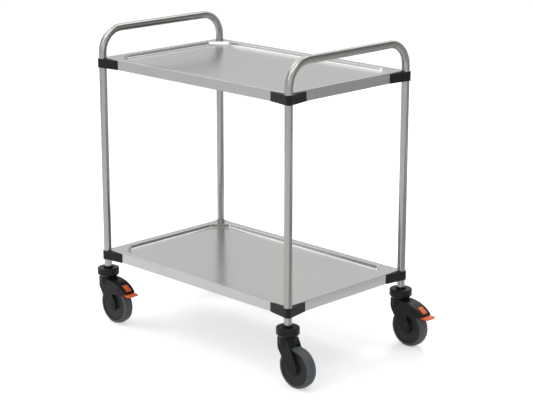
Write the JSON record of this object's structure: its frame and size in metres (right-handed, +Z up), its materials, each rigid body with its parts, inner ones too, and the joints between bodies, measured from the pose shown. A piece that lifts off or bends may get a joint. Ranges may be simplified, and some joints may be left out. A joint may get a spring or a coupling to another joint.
{
  "type": "service cart",
  "caption": "Rectangular service cart with pressed steel shelves between bent-tube end frames, black corner bumpers and swivel casters, for moving dishes and supplies.",
  "frame": {"origin": "on the floor, under the middle of the whole outline with the casters trailing towards +X", "axes": "+X along the shelves' long side, towards which the casters trail; +Y across the cart; +Z up"},
  "size_m": [0.9824, 0.5788, 0.9735],
  "materials": {
    "polished_tube": "polished",
    "shelf_steel": "fine brushed",
    "zinc_steel": "zinc plated",
    "bumper_plastic": "matte",
    "caster_plastic": "satin",
    "wheel_plastic": "satin",
    "grey_nylon": "matte",
    "tyre_rubber": "matte",
    "pedal_plastic": "satin"
  },
  "bodies": {
    "cart": {"end_frame_left": "polished_tube", "end_frame_right": "polished_tube", "upper_shelf": "shelf_steel", "upper_corner_brackets": "zinc_steel", "upper_frame_bolts": "zinc_steel", "upper_frame_nuts": "zinc_steel", "upper_bumper_front_left": "bumper_plastic", "upper_bumper_front_right": "bumper_plastic", "upper_bumper_rear_right": "bumper_plastic", "upper_bumper_rear_left": "bumper_plastic", "lower_shelf": "shelf_steel", "lower_corner_brackets": "zinc_steel", "lower_frame_bolts": "zinc_steel", "lower_frame_nuts": "zinc_steel", "lower_bumper_front_left": "bumper_plastic", "lower_bumper_front_right": "bumper_plastic", "lower_bumper_rear_right": "bumper_plastic", "lower_bumper_rear_left": "bumper_plastic", "swivel_head_front_left": "caster_plastic", "stem_front_left": "zinc_steel", "expander_front_left": "grey_nylon", "swivel_head_front_right": "caster_plastic", "stem_front_right": "zinc_steel", "expander_front_right": "grey_nylon", "swivel_head_rear_right": "caster_plastic", "stem_rear_right": "zinc_steel", "expander_rear_right": "grey_nylon", "swivel_head_rear_left": "caster_plastic", "stem_rear_left": "zinc_steel", "expander_rear_left": "grey_nylon"},
    "caster_front_left": {"swivel_bearing_front_left": "zinc_steel", "fork_front_left": "caster_plastic", "axle_front_left": "zinc_steel", "brake_pin_front_left": "zinc_steel"},
    "wheel_front_left": {"wheel_bush_front_left": "grey_nylon", "wheel_core_front_left": "wheel_plastic", "tyre_front_left": "tyre_rubber"},
    "pedal_front_left": {"brake_pedal_front_left": "pedal_plastic"},
    "caster_front_right": {"swivel_bearing_front_right": "zinc_steel", "fork_front_right": "caster_plastic", "axle_front_right": "zinc_steel"},
    "wheel_front_right": {"wheel_bush_front_right": "grey_nylon", "wheel_core_front_right": "wheel_plastic", "tyre_front_right": "tyre_rubber"},
    "caster_rear_right": {"swivel_bearing_rear_right": "zinc_steel", "fork_rear_right": "caster_plastic", "axle_rear_right": "zinc_steel", "brake_pin_rear_right": "zinc_steel"},
    "wheel_rear_right": {"wheel_bush_rear_right": "grey_nylon", "wheel_core_rear_right": "wheel_plastic", "tyre_rear_right": "tyre_rubber"},
    "pedal_rear_right": {"brake_pedal_rear_right": "pedal_plastic"},
    "caster_rear_left": {"swivel_bearing_rear_left": "zinc_steel", "fork_rear_left": "caster_plastic", "axle_rear_left": "zinc_steel"},
    "wheel_rear_left": {"wheel_bush_rear_left": "grey_nylon", "wheel_core_rear_left": "wheel_plastic", "tyre_rear_left": "tyre_rubber"}
  },
  "joints": [
    {"name": "swivel_front_left", "type": "hinge", "parent": "cart", "child": "caster_front_left", "pos_m": [-0.45577, -0.254, 0.151], "axis": [0, 0, 1], "continuous": true},
    {"name": "roll_front_left", "type": "hinge", "parent": "caster_front_left", "child": "wheel_front_left", "pos_m": [-0.41477, -0.254, 0.0625], "axis": [0, 1, 0], "continuous": true},
    {"name": "brake_front_left", "type": "hinge", "parent": "caster_front_left", "child": "pedal_front_left", "pos_m": [-0.37743, -0.254, 0.12112], "axis": [0, 1, 0], "range_deg": [0, 7]},
    {"name": "swivel_front_right", "type": "hinge", "parent": "cart", "child": "caster_front_right", "pos_m": [0.36423, -0.254, 0.151], "axis": [0, 0, 1], "continuous": true},
    {"name": "roll_front_right", "type": "hinge", "parent": "caster_front_right", "child": "wheel_front_right", "pos_m": [0.40523, -0.254, 0.0625], "axis": [0, 1, 0], "continuous": true},
    {"name": "swivel_rear_right", "type": "hinge", "parent": "cart", "child": "caster_rear_right", "pos_m": [0.36423, 0.254, 0.151], "axis": [0, 0, 1], "continuous": true},
    {"name": "roll_rear_right", "type": "hinge", "parent": "caster_rear_right", "child": "wheel_rear_right", "pos_m": [0.40523, 0.254, 0.0625], "axis": [0, 1, 0], "continuous": true},
    {"name": "brake_rear_right", "type": "hinge", "parent": "caster_rear_right", "child": "pedal_rear_right", "pos_m": [0.44257, 0.254, 0.12112], "axis": [0, 1, 0], "range_deg": [0, 7]},
    {"name": "swivel_rear_left", "type": "hinge", "parent": "cart", "child": "caster_rear_left", "pos_m": [-0.45577, 0.254, 0.151], "axis": [0, 0, 1], "continuous": true},
    {"name": "roll_rear_left", "type": "hinge", "parent": "caster_rear_left", "child": "wheel_rear_left", "pos_m": [-0.41477, 0.254, 0.0625], "axis": [0, 1, 0], "continuous": true}
  ]
}
